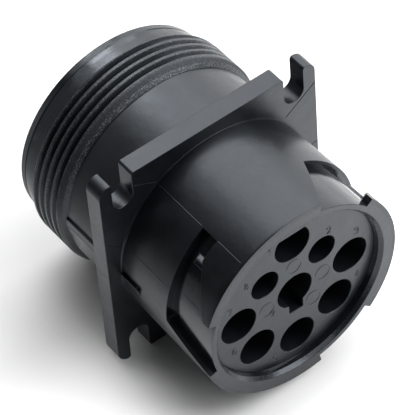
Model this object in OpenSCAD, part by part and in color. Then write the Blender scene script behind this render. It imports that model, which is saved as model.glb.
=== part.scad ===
// Flange mount receptacle: a moulded circular connector shell with a square
// slotted flange, a threaded rear barrel, a bayonet front barrel, a nine-cavity
// insulator, a contact retainer, a wire seal and nine recessed pin contacts.
// Row frame: the axis lies along Y, the mating face looks along -Y, +Z is up,
// and the origin is on the axis in the plane of the flange's rear face.
// Inside the modules the axis is Z, with the mating end at +Z and Y up.

/* [Flange] */
// Side of the square flange
flange_side = 33.34; // [32.6:0.02:36]
// Thickness of the flange
flange_t = 2.68; // [2:0.02:3.6]
// Corner radius of the flange
flange_corner = 2.0; // [1:0.1:2.1]
// Distance between slot centres, both ways
slot_pitch = 26.5; // [26:0.1:27]
// Width of the open screw slots
slot_w = 3.05; // [2.6:0.05:3.3]
// Break of the slot mouths at the flange edge
slot_break = 0.45; // [0:0.05:0.6]

/* [Rear barrel] */
// Length behind the flange
rear_len = 18.80; // [17.5:0.1:24]
// Radius of the plain barrel behind the flange
rear_r = 15.02; // [14.8:0.02:15.3]
// Length of the plain barrel
rear_plain = 8.05; // [6:0.05:8.5]
// Chamfer of the thread's front shoulder
thread_ch = 0.39; // [0.2:0.01:0.8]
// Thread major radius
thread_r = 15.875; // [15.6:0.005:16.2]
// Length of the threaded land
thread_len = 6.46; // [4:0.02:6.8]
// Radius of the end collar behind the thread
collar_r = 14.90; // [14.6:0.02:15.3]
// Chamfer of the collar end
collar_ch = 0.42; // [0.1:0.02:0.8]
// Radius of the rear hollow
hollow_r = 13.0; // [12.8:0.02:13.4]

/* [Front barrel] */
// Length from the flange's front face to the rim
front_len = 17.22; // [16.6:0.02:22]
// Barrel radius at the flange
front_r0 = 14.60; // [14.4:0.02:14.9]
// Barrel radius at the rim
front_r1 = 15.03; // [14.9:0.01:15.2]
// Radius of the root ring at the flange
root_r = 15.00; // [14.96:0.02:15.2]
// Height of the root ring
root_h = 0.12; // [0.04:0.02:0.4]
// Radius of the track floor and of the thin rim
floor_r = 13.90; // [13.6:0.02:14.2]
// Depth of the front face below the rim
recess = 1.32; // [0.8:0.02:2]
// Bore that holds the insulator
seat_r = 12.65; // [12.55:0.01:12.8]
// Outer radius of the rim's lead-in
lead_r = 13.20; // [12.9:0.02:13.5]
// Depth of the rim's lead-in
lead_d = 0.40; // [0.2:0.02:0.8]

/* [Side ribs] */
// Height of the rib in front of the flange
rib_front_h = 0.38; // [0.1:0.02:0.5]
// Length of the rib in front of the flange
rib_front_len = 3.8; // [2:0.1:4.6]
// Height of the rib behind the flange
rib_rear_h = 0.26; // [0.1:0.02:0.5]

/* [Bayonet tracks] */
// Angle of the stop wall
stop_a = 3.9; // [1:0.1:8]
// Angle where the ear's ramp starts
ramp_a0 = 15.4; // [12:0.1:20]
// Angle of the ear's thin end
ear_a = 40.0; // [36:0.1:44]
// Angle of the entry wall at the track's rear
entry_a0 = 60.8; // [56:0.1:64]
// Angle of the entry wall at the rim
entry_a1 = 75.6; // [70:0.1:80]
// Rim to the track's rear wall
track_rear = 7.92; // [7:0.02:9]
// Rim to the ear's rear side at its thick end
ear_thick = 5.19; // [4.6:0.02:5.6]
// Rim to the ear's rear side at its thin end
ear_thin = 1.18; // [0.9:0.02:2]
// Height of the detent hump
hump_h = 0.46; // [0.1:0.02:0.6]

/* [Cavities] */
// Pitch radius of the large cavities
pitch_large = 8.735; // [8.6:0.005:8.9]
// Pitch radius of the small cavities
pitch_small = 6.263; // [6.1:0.005:6.4]
// Large cavity radius
cav_large = 2.67; // [2.4:0.01:2.75]
// Small cavity radius
cav_small = 2.07; // [1.8:0.01:2.2]
// Depth of the front cavities
cav_depth = 11.6; // [9:0.1:12.5]
// Width of the central keyway
key_w = 2.15; // [1.6:0.05:2.4]
// Reach of the central keyway from the axis
key_r = 3.95; // [3.4:0.05:4.4]
// Height of the flat in the top cavity above the axis
flat_y = 10.50; // [10.2:0.02:11]

/* [Contacts] */
// Large pin radius
pin_large = 1.18; // [1:0.02:1.22]
// Small pin radius
pin_small = 0.785; // [0.6:0.005:0.9]
// Depth of the pin tips below the front face
tip_depth = 5.0; // [2.8:0.1:7]

/* [Inner pieces] */
// Radial play between the insulator and its seat
play = 0.02; // [0.01:0.01:0.06]
// Thickness of the contact retainer
retainer_t = 3.0; // [2.6:0.1:3.6]
// Thickness of the wire seal
seal_t = 7.5; // [6.4:0.1:8]

/* [Hidden] */
$fn = 128;
z_rim = flange_t + front_len;          // rim plane
z_face = z_rim - recess;               // front face of the insulator
z_shoulder = 1.0;                      // rear end of the insulator's seat
z_web = -0.5;                          // rear face of the insulator
shoulder_r = 12.0;                     // ring that stops the insulator
z_ret = z_web - retainer_t;            // rear face of the retainer
z_seal = z_ret - seal_t;               // rear face of the wire seal
z_cav = z_face - cav_depth;            // floor of the front cavities
tip_z = z_face - tip_depth;
c_black = [0.085, 0.09, 0.10];
c_insert = [0.09, 0.095, 0.105];
c_seal = [0.16, 0.16, 0.17];
c_gold = [0.80, 0.62, 0.30];
// cavity places: pitch radius, angle, large (1) or small (0)
PLACES = [[pitch_large, 90, 1], [pitch_small, 45, 0], [pitch_large, 0, 1],
          [pitch_large, -45, 1], [pitch_large, -90, 1], [pitch_large, -135, 1],
          [pitch_large, 180, 1], [pitch_small, 135, 0], [0, 0, 1]];
function cav_r(p) = p[2] == 1 ? cav_large : cav_small;
function pin_r(p) = p[2] == 1 ? pin_large : pin_small;
function collar_rad(p) = p[2] == 1 ? 2.0 : 1.45;
function barrel_rad(p) = p[2] == 1 ? 1.6 : 1.2;

// turn the axis from +Z to the row frame's -Y
module row() { rotate([90, 0, 0]) children(); }
module at_place(p) { translate([p[0] * cos(p[1]), p[0] * sin(p[1]), 0]) children(); }
// part of a ring between two radii, two heights and two angles
module ring_sector(r0, r1, z0, z1, a0, a1) {
    rotate([0, 0, a0]) rotate_extrude(angle = a1 - a0)
        translate([r0, z0]) square([r1 - r0, z1 - z0]);
}

module flange_plate() {
    h = flange_side / 2;
    c = flange_corner;
    s = slot_pitch / 2;
    b = slot_break;
    difference() {
        union() {
            translate([-h, -h + c, 0]) cube([2 * h, 2 * (h - c), flange_t]);
            translate([-h + c, -h, 0]) cube([2 * (h - c), 2 * h, flange_t]);
            for (x = [-1, 1], y = [-1, 1])
                translate([x * (h - c), y * (h - c), 0]) cylinder(r = c, h = flange_t);
        }
        for (x = [-1, 1], y = [-1, 1]) {
            translate([x * s, y * s, -1]) cylinder(d = slot_w, h = flange_t + 2);
            translate([x * s - slot_w / 2, y > 0 ? s : -s - 10, -1]) cube([slot_w, 10, flange_t + 2]);
            // broken inner edge of the slot mouth
            if (b > 0) translate([x * (s - slot_w / 2), y * h, -1])
                rotate([0, 0, 45]) translate([-b * 0.7071, -b * 0.7071, 0])
                    cube([b * 1.4142, b * 1.4142, flange_t + 2]);
        }
    }
}

// one bayonet track: rear groove, ramp below the ear and slanting entry
module track() {
    zr = z_rim - track_rear;
    ze = z_rim - ear_thick;
    zt = z_rim - ear_thin;
    rm = 14.9;
    a_mid = (ramp_a0 + ear_a) / 2;
    slope = atan((zt - ze) / (rm * (ear_a - ramp_a0) * PI / 180));
    w_mid = (entry_a0 + entry_a1) / 2;
    lean = atan(rm * (entry_a1 - entry_a0) * PI / 180 / track_rear);
    difference() {
        ring_sector(floor_r, 18, zr, z_rim + 1, stop_a, entry_a1 + 6);
        // the ear: flat part, then the ramp
        ring_sector(floor_r - 1, 20, ze, z_rim + 2, stop_a - 1, ramp_a0);
        intersection() {
            ring_sector(floor_r - 1, 20, ze - 1, z_rim + 2, ramp_a0, ear_a);
            rotate([0, 0, a_mid]) translate([0, 0, (ze + zt) / 2]) rotate([slope, 0, 0])
                translate([0, -30, 0]) cube([40, 60, 40]);
        }
        // the entry wall of the next ear
        rotate([0, 0, w_mid]) translate([0, 0, z_rim - track_rear / 2]) rotate([-lean, 0, 0])
            translate([0, 0, -30]) cube([40, 30, 60]);
    }
}

function p(r, a) = [r * cos(a), r * sin(a)];

// detent hump in the track
module hump() {
    translate([0, 0, z_rim - track_rear + 0.3])
        linear_extrude(height = track_rear - ear_thick - 0.1)
            polygon([p(floor_r - 0.4, 14.8), p(floor_r, 14.8), p(floor_r + hump_h, 17.7),
                     p(floor_r + hump_h, 20.3), p(floor_r, 21.3), p(floor_r - 0.4, 21.3)]);
}

// ribs on the left side, in front of the flange and behind it, that fall away downward
module side_ribs() {
    translate([0, 0, flange_t - 0.2]) linear_extrude(height = rib_front_len + 0.2)
        polygon([p(14.2, 178), p(front_r0 + 0.05 + rib_front_h, 178), p(front_r0 - 0.02, 184.5), p(14.2, 184.5)]);
    translate([0, 0, -rear_plain - 0.35]) linear_extrude(height = rear_plain + 0.55)
        polygon([p(14.2, 175.2), p(rear_r + rib_rear_h, 175.2), p(rear_r + rib_rear_h, 179.3),
                 p(rear_r - 0.02, 189), p(14.2, 189)]);
}

module shell() {
    z_thread = -rear_plain - thread_ch;
    color(c_black) row() {
        difference() {
            union() {
                // rear barrel, thread land and collar
                rotate_extrude() polygon([
                    [0, 0.5], [rear_r, 0.5], [rear_r, -rear_plain],
                    [thread_r - thread_ch, -rear_plain], [thread_r, z_thread],
                    [thread_r, z_thread - thread_len],
                    [collar_r, z_thread - thread_len - 0.45],
                    [collar_r, -rear_len + collar_ch],
                    [collar_r - collar_ch, -rear_len], [0, -rear_len]]);
                flange_plate();
                // front barrel with its root ring
                rotate_extrude() polygon([
                    [0, flange_t - 0.5], [root_r, flange_t - 0.5], [root_r, flange_t + root_h],
                    [front_r0, flange_t + root_h],
                    [front_r1, z_rim], [0, z_rim]]);
            }
            // inner shape
            rotate_extrude() polygon([
                [0, -rear_len - 1], [hollow_r + 0.4, -rear_len - 1],
                [hollow_r + 0.4, -rear_len], [hollow_r, -rear_len + 0.4],
                [hollow_r, z_web], [shoulder_r, z_web], [shoulder_r, z_shoulder],
                [seat_r, z_shoulder], [seat_r, z_rim - lead_d], [lead_r, z_rim],
                [lead_r, z_rim + 1], [0, z_rim + 1]]);
            for (k = [0, 120, 240]) rotate([0, 0, k]) track();
        }
        for (k = [0, 120, 240]) rotate([0, 0, k]) hump();
        side_ribs();
    }
}

module dielectric_insert() {
    e = 0.12;
    color(c_insert) row() difference() {
        rotate_extrude() polygon([
            [0, z_web], [shoulder_r - play, z_web], [shoulder_r - play, z_shoulder],
            [seat_r - play, z_shoulder], [seat_r - play, z_face - e],
            [seat_r - play - e, z_face], [0, z_face]]);
        for (i = [0:8]) let(p = PLACES[i]) {
            // front cavity; the top one keeps a flat
            if (i == 0) intersection() {
                at_place(p) translate([0, 0, z_cav]) cylinder(r = cav_r(p), h = cav_depth + 1);
                translate([-10, -20, z_cav]) cube([20, 20 + flat_y, cav_depth + 2]);
            } else at_place(p) translate([0, 0, z_cav]) cylinder(r = cav_r(p), h = cav_depth + 1);
            // pin hole through the web
            at_place(p) translate([0, 0, z_web - 1]) cylinder(r = pin_r(p) + 0.05, h = z_cav - z_web + 2);
        }
        translate([-key_w / 2 + 0.1, -key_r, z_cav]) cube([key_w, key_r, cav_depth + 1]);
    }
}

module contact_retainer() {
    color(c_insert) row() difference() {
        translate([0, 0, z_ret]) cylinder(r = hollow_r - play, h = retainer_t);
        for (i = [0:8]) let(p = PLACES[i]) at_place(p) {
            // seat of the contact's collar, and the finger bore behind it
            translate([0, 0, z_web - 1.5]) cylinder(r = collar_rad(p) + 0.05, h = 2.5);
            translate([0, 0, z_ret - 1]) cylinder(r = barrel_rad(p) + 0.05, h = retainer_t + 1);
            // slots that free the fingers
            for (a = [45, 135]) rotate([0, 0, a])
                translate([-collar_rad(p), -0.2, z_ret - 1]) cube([2 * collar_rad(p), 0.4, retainer_t + 2 - 1.5]);
        }
    }
}

module wire_seal() {
    g = hollow_r - play;
    color(c_seal) row() difference() {
        // three sealing ribs round the edge
        rotate_extrude() polygon([
            [0, z_ret], [g - 0.35, z_ret], [g - 0.35, z_ret - 0.8],
            [g, z_ret - 1.15], [g, z_ret - 1.65], [g - 0.35, z_ret - 2.0],
            [g - 0.35, z_ret - 2.9], [g, z_ret - 3.25], [g, z_ret - 3.75], [g - 0.35, z_ret - 4.1],
            [g - 0.35, z_ret - 5.0], [g, z_ret - 5.35], [g, z_ret - 5.85], [g - 0.35, z_ret - 6.2],
            [g - 0.35, z_seal + 0.3], [g - 0.65, z_seal], [0, z_seal]]);
        // wire holes: a sleeve round the crimp barrel, then a narrow lip on the wire
        for (i = [0:8]) let(p = PLACES[i], r = barrel_rad(p) + 0.06) at_place(p) {
            translate([0, 0, z_seal + 2.1]) cylinder(r = r, h = seal_t);
            translate([0, 0, z_seal + 1]) cylinder(r = r - 0.4, h = 2);
            translate([0, 0, z_seal - 1]) cylinder(r = r, h = 2.1);
        }
    }
}

// pin contact: rounded pin, locating collar and crimp barrel with its wire hole
module contact(p) {
    pr = pin_r(p);
    br = barrel_rad(p);
    cr = collar_rad(p);
    z_end = z_seal + 2.3;
    n = 10;
    color(c_gold) row() at_place(p) rotate_extrude() polygon(concat(
        [for (i = [0:n]) [pr * sin(90 * i / n), tip_z - pr + pr * cos(90 * i / n)]],
        [[pr, z_web], [cr, z_web], [cr, z_web - 1.5], [br, z_web - 1.5],
         [br, z_end + 0.15], [br - 0.15, z_end], [br - 0.4, z_end],
         [br - 0.5, z_end + 4.5], [0, z_end + 5.0]]));
}

shell();
dielectric_insert();
contact_retainer();
wire_seal();
contact(PLACES[0]);  // contact_1
contact(PLACES[1]);  // contact_2
contact(PLACES[2]);  // contact_3
contact(PLACES[3]);  // contact_4
contact(PLACES[4]);  // contact_5
contact(PLACES[5]);  // contact_6
contact(PLACES[6]);  // contact_7
contact(PLACES[7]);  // contact_8
contact(PLACES[8]);  // contact_9
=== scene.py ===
import math

import bpy
import numpy as np
from mathutils import Matrix, Vector
from mathutils.geometry import delaunay_2d_cdt


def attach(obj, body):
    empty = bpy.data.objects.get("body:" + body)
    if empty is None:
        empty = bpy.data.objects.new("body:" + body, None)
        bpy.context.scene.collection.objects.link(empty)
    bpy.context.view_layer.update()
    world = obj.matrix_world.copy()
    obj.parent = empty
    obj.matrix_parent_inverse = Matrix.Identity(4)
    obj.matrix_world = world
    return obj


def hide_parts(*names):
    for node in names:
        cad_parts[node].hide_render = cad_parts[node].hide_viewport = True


# Looks of a flange mount receptacle. Shapes are worked out in millimetres with
# the connector's axis along Z, the mating end at +Z and Y up, and z = 0 in the
# flange's rear face. to_row() turns them into the row frame, in metres.

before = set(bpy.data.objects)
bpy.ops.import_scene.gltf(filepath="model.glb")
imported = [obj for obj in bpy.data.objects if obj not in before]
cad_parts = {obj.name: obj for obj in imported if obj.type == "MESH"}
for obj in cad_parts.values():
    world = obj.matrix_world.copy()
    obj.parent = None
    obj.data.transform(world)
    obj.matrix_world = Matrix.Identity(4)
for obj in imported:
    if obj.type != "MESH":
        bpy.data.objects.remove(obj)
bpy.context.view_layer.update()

# ---------------------------------------------------------------- dimensions
HALF = 16.67          # half the flange's side
Z_FL = 2.68           # front face of the flange
Z_RIM = 19.90         # rim plane
Z_FACE = 18.58        # front face of the insulator
R_FRONT0, R_FRONT1 = 14.60, 15.025   # front barrel, at the flange and at the rim
R_FLOOR = 13.88       # floor of the bayonet tracks at the rim
FLOOR_DRAFT = 0.02    # its fall towards the flange
R_SEAT = 12.65        # bore that holds the insulator
R_REAR = 15.02        # plain barrel behind the flange
R_MAJOR = 15.875      # thread
PITCH = 1.27
R_COLLAR = 14.94
R_LIP = 14.86         # end band of the collar
W_LINE = 0.11
Z_LINE = -17.52       # line between the collar and its end band
Z_COLLAR = -18.45     # where the end chamfer starts
Z_END = -18.80
NS = 180              # segments round the axis


def to_row(P):
    P = np.asarray(P, float)
    return np.stack([P[:, 0], -P[:, 2], P[:, 1]], 1)


# ---------------------------------------------------------------- mesh tools
def face_vectors(P, F):
    """Area vectors of the faces, as one array."""
    out = np.zeros((len(F), 3))
    for k in (3, 4):
        idx = [i for i, f in enumerate(F) if len(f) == k]
        if not idx:
            continue
        A = np.array([F[i] for i in idx])
        if k == 3:
            v = np.cross(P[A[:, 1]] - P[A[:, 0]], P[A[:, 2]] - P[A[:, 0]])
        else:
            v = np.cross(P[A[:, 2]] - P[A[:, 0]], P[A[:, 3]] - P[A[:, 1]])
        out[idx] = v / 2
    return out


def area_normals(P, F):
    W = np.zeros_like(P)
    V = face_vectors(P, F)
    for k in (3, 4):
        idx = [i for i, f in enumerate(F) if len(f) == k]
        if not idx:
            continue
        A = np.array([F[i] for i in idx])
        for c in range(k):
            np.add.at(W, A[:, c], V[idx])
    n = np.linalg.norm(W, axis=1, keepdims=True)
    n[n == 0] = 1
    return W / n


class Skin:
    """Patches with their own corner normals, joined into one mesh."""

    def __init__(self):
        self.P, self.N, self.F, self.base = [], [], [], 0

    def add(self, P, F, N=None):
        P = np.asarray(P, float)
        W = area_normals(P, F)
        if N is not None:
            N = np.asarray(N, float)
            ok = np.isfinite(N[:, 0])
            W[ok] = N[ok]
        self.P.append(P)
        self.N.append(W)
        self.F += [tuple(int(i) + self.base for i in f) for f in F]
        self.base += len(P)

    def build(self, name, material):
        P, N = np.vstack(self.P), np.vstack(self.N)
        key = np.round(P / 0.0005).astype(np.int64)
        _, first, inv = np.unique(key, axis=0, return_index=True, return_inverse=True)
        inv = inv.reshape(-1)
        faces, corners = [], []
        for f in self.F:
            g, c = [], []
            for i in f:
                j = int(inv[i])
                if j not in g:
                    g.append(j)
                    c.append(i)
            if len(g) >= 3:
                faces.append(g)
                corners += c
        mesh = bpy.data.meshes.new(name)
        mesh.from_pydata((to_row(P[first]) / 1000).tolist(), [], faces)
        mesh.polygons.foreach_set("use_smooth", [True] * len(mesh.polygons))
        mesh.normals_split_custom_set(to_row(N[corners]).tolist())
        mesh.update()
        mesh.materials.append(material)
        obj = bpy.data.objects.new(name, mesh)
        bpy.context.scene.collection.objects.link(obj)
        return obj


def triangulate(pts, edges):
    """Constrained Delaunay triangles of plane points, as points and faces."""
    pts = np.asarray(pts, float)
    mid = (pts.max(0) + pts.min(0)) / 2
    out = delaunay_2d_cdt([Vector((float(a), float(b))) for a, b in pts - mid],
                          [(int(a), int(b)) for a, b in edges], [], 0, 1e-5)
    Q = np.array([[v[0], v[1]] for v in out[0]]) + mid
    for i, o in enumerate(out[3]):
        if o:
            Q[i] = pts[o[0]]
    return Q, [tuple(f) for f in out[2] if len(f) == 3]


def inside(poly, pts):
    """Even-odd test of points against a closed polygon."""
    x, y = pts[:, 0], pts[:, 1]
    r = np.zeros(len(pts), bool)
    a, b = poly, np.roll(poly, -1, axis=0)
    for (x0, y0), (x1, y1) in zip(a, b):
        if y0 == y1:
            continue
        c = (y0 > y) != (y1 > y)
        r ^= c & (x < (x1 - x0) * (y - y0) / (y1 - y0) + x0)
    return r


def stadium(a, b, w, n=4, step=0.6):
    """Closed loop at the distance w round a segment."""
    t = (b - a) / np.linalg.norm(b - a)
    s = np.array([-t[1], t[0]])
    m = max(1, int(math.ceil(np.linalg.norm(b - a) / step)))
    turn = np.linspace(0, math.pi, n + 1)[1:-1]
    L = [a - s * w + (b - a) * i / m for i in range(m + 1)]
    L += [b + w * (math.sin(q) * t - math.cos(q) * s) for q in turn]
    L += [b + s * w + (a - b) * i / m for i in range(m + 1)]
    L += [a - w * (math.sin(q) * t - math.cos(q) * s) for q in turn]
    return np.array(L + L[:1])


class Marks:
    """Fine raised or sunk lines of a surface, with a rounded section of the
    half-width w and the height h: straight pieces and circles."""

    def __init__(self):
        self.pieces, self.circles = [], []

    def line(self, pts, w, h):
        for a, b in zip(pts[:-1], pts[1:]):
            self.pieces.append((np.asarray(a, float), np.asarray(b, float), w, h))

    def circle(self, c, r, w, h):
        self.circles.append((np.asarray(c, float), r, w, h))

    def lines(self):
        for a, b, w, h in self.pieces:
            yield stadium(a, b, w)
            yield stadium(a, b, w / 2)
            m = max(1, int(math.ceil(np.linalg.norm(b - a) / 0.6)))
            yield np.array([a + (b - a) * i / m for i in range(m + 1)])
        for c, r, w, h in self.circles:
            for k in (-1, -0.5, 0, 0.5, 1):
                L = ring(r + k * w, 48, c=c)
                yield np.vstack([L, L[:1]])

    def lift(self, Q):
        """Height at the points, and how far they are from the nearest line."""
        up, far = np.zeros(len(Q)), np.full(len(Q), 1e9)
        for a, b, w, h in self.pieces:
            e = b - a
            t = np.clip(((Q - a) @ e) / (e @ e), 0, 1)
            d = np.linalg.norm(Q - a - t[:, None] * e, axis=1)
            v = h * np.cos(np.clip(d / w, 0, 1) * math.pi / 2) ** 2
            up = np.where(np.abs(v) > np.abs(up), v, up)
            far = np.minimum(far, d - w)
        for c, r, w, h in self.circles:
            d = np.abs(np.linalg.norm(Q - c, axis=1) - r)
            v = h * np.cos(np.clip(d / w, 0, 1) * math.pi / 2) ** 2
            up = np.where(np.abs(v) > np.abs(up), v, up)
            far = np.minimum(far, d - w)
        return up, far


def plane_patch(skin, z, up, outer, holes, marks=None):
    """Flat face between an outer loop and holes, at height z."""
    pts, edges = [], []
    for L in [outer] + list(holes):
        n0, n = len(pts), len(L)
        pts += [tuple(p) for p in L]
        edges += [(n0 + i, n0 + (i + 1) % n) for i in range(n)]
    for L in (marks.lines() if marks else ()):
        n0 = len(pts)
        pts += [tuple(p) for p in L]
        edges += [(n0 + i, n0 + i + 1) for i in range(len(L) - 1)]
    Q, F = triangulate(pts, edges)
    F = np.array(F)
    c = Q[F].mean(1)
    keep = inside(np.asarray(outer), c)
    for h in holes:
        keep &= ~inside(np.asarray(h), c)
    F = F[keep]
    used = np.unique(F)
    new = np.full(len(Q), -1)
    new[used] = np.arange(len(used))
    Q, F = Q[used], new[F]
    if up < 0:
        F = F[:, ::-1]
    P = np.column_stack([Q, np.full(len(Q), z)])
    N = np.tile([0, 0, float(up)], (len(P), 1))
    if marks:
        lift, _ = marks.lift(Q)
        P[:, 2] += up * lift
        N[np.abs(lift) > 1e-6] = np.nan
    skin.add(P, [tuple(f) for f in F], N)


def ring(r, n=NS, z=None, c=(0.0, 0.0), ph0=0.0):
    a = np.radians(ph0 + np.arange(n) * 360.0 / n)
    L = np.column_stack([c[0] + r * np.cos(a), c[1] + r * np.sin(a)])
    return L if z is None else np.column_stack([L, np.full(n, z)])


def revolve(skin, prof, n=NS, c=(0.0, 0.0), outward=False, smooth=(), ph0=0.0):
    """Strips of a profile of (radius, height), each with the normal of its own
    slope; smooth lists the inner profile points where the slope is blended."""
    prof = np.asarray(prof, float)
    d = np.diff(prof, axis=0)
    nr = np.column_stack([d[:, 1], -d[:, 0]]) / np.linalg.norm(d, axis=1)[:, None]
    if outward:
        nr = -nr
    a = np.radians(ph0 + np.arange(n) * 360.0 / n)
    ca, sa = np.cos(a), np.sin(a)
    for i in range(len(d)):
        ends = []
        for j in (i, i + 1):
            m = nr[i].copy()
            o = i - 1 if j == i else i + 1
            if j in smooth and 0 <= o < len(d):
                m = m + nr[o]
                m /= np.linalg.norm(m)
            ends.append(m)
        P = np.vstack([np.column_stack([c[0] + prof[j, 0] * ca, c[1] + prof[j, 0] * sa,
                                        np.full(n, prof[j, 1])]) for j in (i, i + 1)])
        N = np.vstack([np.column_stack([m[0] * ca, m[0] * sa, np.full(n, m[1])]) for m in ends])
        F = []
        for k in range(n):
            l = (k + 1) % n
            q = (k, l, n + l, n + k)
            F.append(q[::-1] if outward else q)
        skin.add(P, F, N)


def quarter(n):
    return [math.radians(90.0 * i / n) for i in range(n + 1)]


# ---------------------------------------------------------------- front barrel
KF = math.radians(1) * 14.5          # mm per degree in the unrolled sheet
PH0 = -10.0                          # seam of the sheet
EPS = 0.012                          # thickness of a wall in the sheet
TOP_RND, FOOT = 0.04, 0.015           # rounding of track edges, and at their foot
RIM_RND, ROOT = 0.05, 0.05
RIM_LOW, RIM_IN = 0.45, 0.08           # gentle fall of the outside towards the rim, on the upper left
Z_TRACK, Z_EAR, Z_THIN = Z_RIM - 7.92, Z_RIM - 5.19, Z_RIM - 1.18
A_STOP, A_RAMP, A_EAR, A_IN0, A_IN1 = 3.9, 15.4, 40.0, 60.8, 75.6
LEAN = (A_IN1 - A_IN0) / 7.92
TRACK = np.array([[A_EAR, Z_RIM + 1], [A_EAR, Z_THIN], [A_RAMP, Z_EAR], [A_STOP, Z_EAR],
                  [A_STOP, Z_TRACK], [A_IN0, Z_TRACK], [A_IN1 + LEAN, Z_RIM + 1]])
TRACK_MM = TRACK * [KF, 1]


# fine lines left by the mould, and the rib beside the flange, unrolled
FRONT_MARKS = Marks()
for a, b, w, h in (((123.72, 2.95), (123.72, 11.70), 0.065, 0.065),
                   ((123.72, 14.98), (123.72, 19.40), 0.065, 0.060),
                   ((160.0, 4.2), (159.8, 11.5), 0.05, -0.035),
                   ((160.0, 13.4), (160.0, 16.4), 0.05, -0.030),
                   ((41.0, 12.4), (41.0, 18.5), 0.10, -0.09), ((281.0, 12.4), (281.0, 18.5), 0.10, -0.09),
                   ((187.7, 3.0), (194.3, 4.6), 0.07, -0.06),
                   ((103.2, 19.62), (104.0, 19.74), 0.06, 0.06), ((109.6, 19.60), (110.0, 19.66), 0.06, 0.05),
                   ((116.2, 19.58), (117.9, 19.72), 0.06, 0.07), ((119.6, 19.66), (120.1, 19.70), 0.06, 0.07),
                   ((127.9, 19.60), (128.6, 19.70), 0.05, 0.06), ((133.0, 19.64), (133.4, 19.72), 0.05, 0.05),
                   ((138.3, 19.62), (139.4, 19.70), 0.05, 0.06), ((144.8, 19.66), (145.3, 19.60), 0.05, 0.05)):
    FRONT_MARKS.line([(a[0] * KF, a[1]), (b[0] * KF, b[1])], w, h)
FRONT_RIB = np.array([[178.0, 2.85], [184.5, 2.85], [184.5, 6.45], [178.0, 6.45]]) * [KF, 1]
RIB_RND = 0.05


def edge_distance(poly, Q):
    """Distance to a closed outline, above zero inside it."""
    best = np.full(len(Q), 1e9)
    for p, q in zip(poly, np.roll(poly, -1, axis=0)):
        e = q - p
        u = np.clip(((Q - p) @ e) / (e @ e), 0, 1)
        best = np.minimum(best, np.linalg.norm(Q - p - u[:, None] * e, axis=1))
    return np.where(inside(poly, Q), best, -best)


def rib_rise(poly, height, Q):
    """Rise of a rib with steep sides and rounded edges."""
    d = edge_distance(poly, Q)
    u = np.clip(1 - (d - EPS) / RIB_RND, 0, 1)
    up = np.clip(height - RIB_RND * (1 - np.sqrt(1 - u * u)), 0, None)
    return np.where(d > EPS / 2, up, 0.0)


def rib_lines(poly, inner):
    for o in (0.0, EPS, EPS + 0.15 * RIB_RND, EPS + 0.5 * RIB_RND, EPS + RIB_RND):
        L = offset_loop(poly, -o)[0]
        yield resample(np.vstack([L, L[:1]]), 0.6)
    lo, hi = poly[:, 1].min() + 0.12, poly[:, 1].max() - 0.12
    for s in inner:
        yield resample(np.array([[s, lo], [s, hi]]), 0.6)


def front_rib(Q):
    return rib_rise(FRONT_RIB, 0.40 * np.clip(1 - (Q[:, 0] / KF - 178.0) / 6.5, 0, 1), Q)


def add_ribbed(skin, P, F, N, Q, poly):
    """Adds a sheet whose rib walls have normals of their own."""
    F = np.array(F)
    d = edge_distance(poly, Q[F].mean(1))
    wall = (d > 0) & (d < EPS)
    skin.add(P, [tuple(f) for f in F[~wall]], N)
    skin.add(P, [tuple(f) for f in F[wall]])


def track_distance(ph, z):
    """Signed distance to the nearest track's outline, below zero in a track."""
    loc = np.mod(ph - PH0, 120.0) + PH0
    best = np.full(len(ph), 1e9)
    ins = np.zeros(len(ph), bool)
    for off in (-120.0, 0.0, 120.0):
        poly = TRACK_MM + [off * KF, 0]
        x = loc * KF
        a, b = poly, np.roll(poly, -1, axis=0)
        for p, q in zip(a, b):
            e = q - p
            t = np.clip(((x - p[0]) * e[0] + (z - p[1]) * e[1]) / (e @ e), 0, 1)
            best = np.minimum(best, np.hypot(x - p[0] - t * e[0], z - p[1] - t * e[1]))
        ins |= inside(poly, np.column_stack([x, z]))
    return np.where(ins, -best, best)


def hump(ph, z):
    loc = np.mod(ph - PH0, 120.0) + PH0
    up = np.interp(loc, [14.9, 15.5, 16.4, 17.2, 17.9, 19.0, 20.2, 20.6, 21.3],
                   [0, 0.06, 0.23, 0.37, 0.47, 0.55, 0.55, 0.46, 0])
    u = np.clip((z - Z_TRACK - 0.16) / 1.3, 0, 1)
    return up * u * u * (3 - 2 * u)


def rim_fall(ph):
    return RIM_IN * np.interp(np.mod(ph, 360.0), [0, 92, 104, 165, 178, 360], [0.15, 0.15, 1, 1, 0.15, 0.15])


def front_radius(ph, z):
    top = R_FRONT0 + (R_FRONT1 - R_FRONT0) * (z - Z_FL) / (Z_RIM - Z_FL)
    u = np.clip(Z_FL + ROOT - z, 0, ROOT)
    top = top + ROOT - np.sqrt(ROOT ** 2 - u ** 2)
    d = track_distance(ph, z)
    c = np.clip(TOP_RND - d, 0, TOP_RND)
    rt = top - (TOP_RND - np.sqrt(TOP_RND ** 2 - c ** 2))
    c = np.clip(FOOT - (-d - EPS), 0, FOOT)
    rb = R_FLOOR + FLOOR_DRAFT * (z - Z_RIM) + np.maximum(FOOT - np.sqrt(FOOT ** 2 - c ** 2), hump(ph, z))
    r = np.where(d > -EPS / 2, rt, rb)
    r = r - rim_fall(ph) * np.clip((z - Z_RIM + RIM_LOW) / RIM_LOW, 0, 1) ** 2
    u = np.clip(z - (Z_RIM - RIM_RND), 0, RIM_RND)
    return r - (RIM_RND - np.sqrt(RIM_RND ** 2 - u ** 2)), d


def offset_path(path, o):
    """Open path moved to its right by o, with mitred corners."""
    e = np.diff(path, axis=0)
    n = np.column_stack([e[:, 1], -e[:, 0]]) / np.linalg.norm(e, axis=1)[:, None]
    out = [path[0] + n[0] * o]
    for i in range(1, len(path) - 1):
        out.append(path[i] + (n[i - 1] + n[i]) * o / (1 + n[i - 1] @ n[i]))
    out.append(path[-1] + n[-1] * o)
    return np.array(out)


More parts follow.
